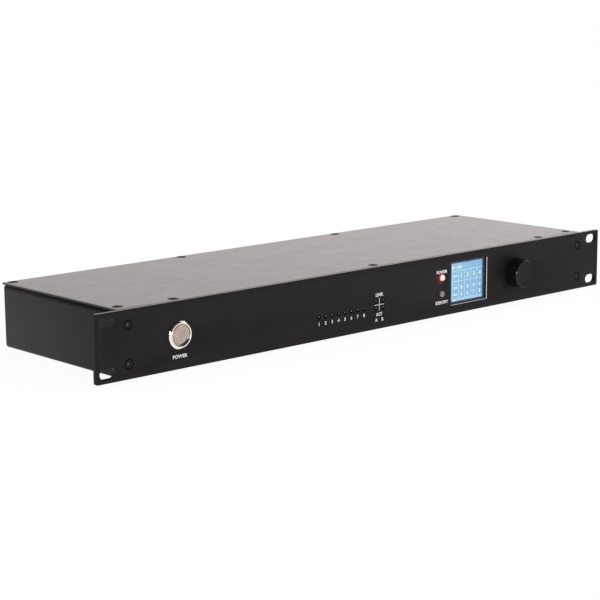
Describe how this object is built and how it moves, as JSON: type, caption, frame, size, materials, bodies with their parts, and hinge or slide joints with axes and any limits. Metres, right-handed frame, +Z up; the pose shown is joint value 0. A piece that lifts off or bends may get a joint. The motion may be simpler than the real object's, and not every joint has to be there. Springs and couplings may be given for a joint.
{
  "type": "rack-mounted lighting network node",
  "caption": "Flat black rack-mounted box that turns a lighting network into control outlets, with power button, display and push knob in front and locking sockets behind.",
  "frame": {"origin": "centre of the chassis bottom face", "axes": "+X to the right seen from the front, +Y to the back, +Z up; the front panel faces -Y"},
  "size_m": [0.4826, 0.1478, 0.044],
  "materials": {
    "panel_paint": "fine matte black powder paint",
    "case_paint": "satin black paint",
    "button_bezel": "polished",
    "button_cap": "satin",
    "knob": "matte",
    "steel": "plated",
    "black_plastic": "matte",
    "nut_brass": "bright",
    "display_pane": "clear",
    "display_screen": "lit screen",
    "lamp_plastic": "clear, unlit",
    "red_lamp": "clear red, lit",
    "grey_lamp": "diffused, unlit",
    "circuit_board": "solder resist",
    "wire": "insulation",
    "ribbon": "insulation",
    "screw_steel": "blackened steel",
    "socket_plastic": "matte",
    "latch_metal": "plated"
  },
  "bodies": {
    "case": {"front_panel": "panel_paint", "chassis_tray": "case_paint", "top_cover": "case_paint", "cover_screw_1": "screw_steel", "cover_screw_2": "screw_steel", "cover_screw_3": "screw_steel", "cover_screw_4": "screw_steel", "cover_screw_5": "screw_steel", "cover_screw_6": "screw_steel", "cover_screw_7": "screw_steel", "cover_screw_8": "screw_steel", "cover_screw_9": "screw_steel", "panel_screw_1": "screw_steel", "panel_screw_2": "screw_steel", "panel_screw_3": "screw_steel", "panel_screw_4": "screw_steel", "power_button_housing": "button_bezel", "power_button_nut": "button_bezel", "encoder_body": "steel", "encoder_nut": "nut_brass", "lcd_window": "display_pane", "lcd_module": "display_screen", "port_light_pipes": "lamp_plastic", "link_light_pipes": "lamp_plastic", "power_led": "red_lamp", "identify_led": "grey_lamp", "control_board": "circuit_board", "main_board": "circuit_board", "power_supply": "circuit_board", "data_outlet_1": "socket_plastic", "data_outlet_2": "socket_plastic", "data_outlet_3": "socket_plastic", "data_outlet_4": "socket_plastic", "data_outlet_5": "socket_plastic", "data_outlet_6": "socket_plastic", "data_outlet_7": "socket_plastic", "data_outlet_8": "socket_plastic", "network_socket_a": "socket_plastic", "network_socket_b": "socket_plastic", "power_inlet": "black_plastic", "mains_harness": "wire", "button_harness": "wire", "dc_harness": "wire", "display_ribbon": "ribbon"},
    "button": {"power_button_cap": "button_cap"},
    "knob_turning": {"encoder_rotor": "black_plastic"},
    "knob_pressing": {"knob": "knob", "encoder_shaft": "steel"},
    "outlet_latch_1": {"outlet_latch_1": "latch_metal"},
    "outlet_latch_2": {"outlet_latch_2": "latch_metal"},
    "outlet_latch_3": {"outlet_latch_3": "latch_metal"},
    "outlet_latch_4": {"outlet_latch_4": "latch_metal"},
    "outlet_latch_5": {"outlet_latch_5": "latch_metal"},
    "outlet_latch_6": {"outlet_latch_6": "latch_metal"},
    "outlet_latch_7": {"outlet_latch_7": "latch_metal"},
    "outlet_latch_8": {"outlet_latch_8": "latch_metal"},
    "network_latch_a": {"network_latch_a": "latch_metal"},
    "network_latch_b": {"network_latch_b": "latch_metal"}
  },
  "joints": [
    {"name": "power_button_press", "type": "slide", "parent": "case", "child": "button", "axis": [0, 1, 0], "range_m": [0, 0.0025], "stiffness_N_per_m": 800},
    {"name": "knob_turn", "type": "hinge", "parent": "case", "child": "knob_turning", "pos_m": [0.143, -0.068, 0.022], "axis": [0, 1, 0], "continuous": true},
    {"name": "knob_press", "type": "slide", "parent": "knob_turning", "child": "knob_pressing", "axis": [0, 1, 0], "range_m": [0, 0.0005], "stiffness_N_per_m": 4000},
    {"name": "outlet_latch_1_press", "type": "slide", "parent": "case", "child": "outlet_latch_1", "axis": [0, -1, 0], "range_m": [0, 0.0015], "stiffness_N_per_m": 1500},
    {"name": "outlet_latch_2_press", "type": "slide", "parent": "case", "child": "outlet_latch_2", "axis": [0, -1, 0], "range_m": [0, 0.0015], "stiffness_N_per_m": 1500},
    {"name": "outlet_latch_3_press", "type": "slide", "parent": "case", "child": "outlet_latch_3", "axis": [0, -1, 0], "range_m": [0, 0.0015], "stiffness_N_per_m": 1500},
    {"name": "outlet_latch_4_press", "type": "slide", "parent": "case", "child": "outlet_latch_4", "axis": [0, -1, 0], "range_m": [0, 0.0015], "stiffness_N_per_m": 1500},
    {"name": "outlet_latch_5_press", "type": "slide", "parent": "case", "child": "outlet_latch_5", "axis": [0, -1, 0], "range_m": [0, 0.0015], "stiffness_N_per_m": 1500},
    {"name": "outlet_latch_6_press", "type": "slide", "parent": "case", "child": "outlet_latch_6", "axis": [0, -1, 0], "range_m": [0, 0.0015], "stiffness_N_per_m": 1500},
    {"name": "outlet_latch_7_press", "type": "slide", "parent": "case", "child": "outlet_latch_7", "axis": [0, -1, 0], "range_m": [0, 0.0015], "stiffness_N_per_m": 1500},
    {"name": "outlet_latch_8_press", "type": "slide", "parent": "case", "child": "outlet_latch_8", "axis": [0, -1, 0], "range_m": [0, 0.0015], "stiffness_N_per_m": 1500},
    {"name": "network_latch_a_press", "type": "slide", "parent": "case", "child": "network_latch_a", "axis": [0, -1, 0], "range_m": [0, 0.0015], "stiffness_N_per_m": 1500},
    {"name": "network_latch_b_press", "type": "slide", "parent": "case", "child": "network_latch_b", "axis": [0, -1, 0], "range_m": [0, 0.0015], "stiffness_N_per_m": 1500}
  ]
}
